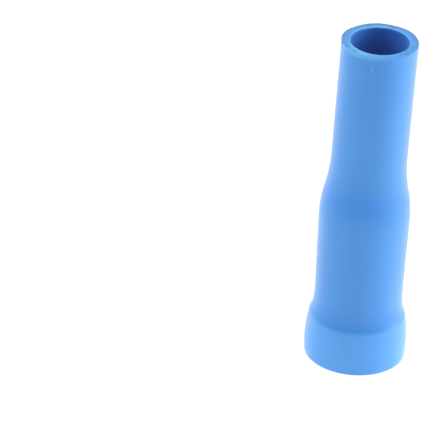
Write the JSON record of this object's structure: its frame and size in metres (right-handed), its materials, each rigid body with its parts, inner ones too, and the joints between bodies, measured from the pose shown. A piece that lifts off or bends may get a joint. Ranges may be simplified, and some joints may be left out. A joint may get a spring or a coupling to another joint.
{
  "type": "round crimp socket connector",
  "caption": "Insulated round crimp socket: a rolled metal socket and crimp barrel inside a stepped soft plastic sleeve that flares at its mating mouth.",
  "frame": {"origin": "centre of the mouth rim that the connector stands on", "axes": "+Z along the axis, from the mating mouth up to the wire end; the contact's slit faces +Y"},
  "size_m": [0.0076, 0.0076, 0.026],
  "materials": {
    "blue_sleeve": "satin soft plastic, slightly translucent at thin edges",
    "tinned_brass": "bright tin plating"
  },
  "bodies": {
    "root": {"insulating_sleeve": "blue_sleeve", "socket_contact": "tinned_brass"}
  },
  "joints": []
}
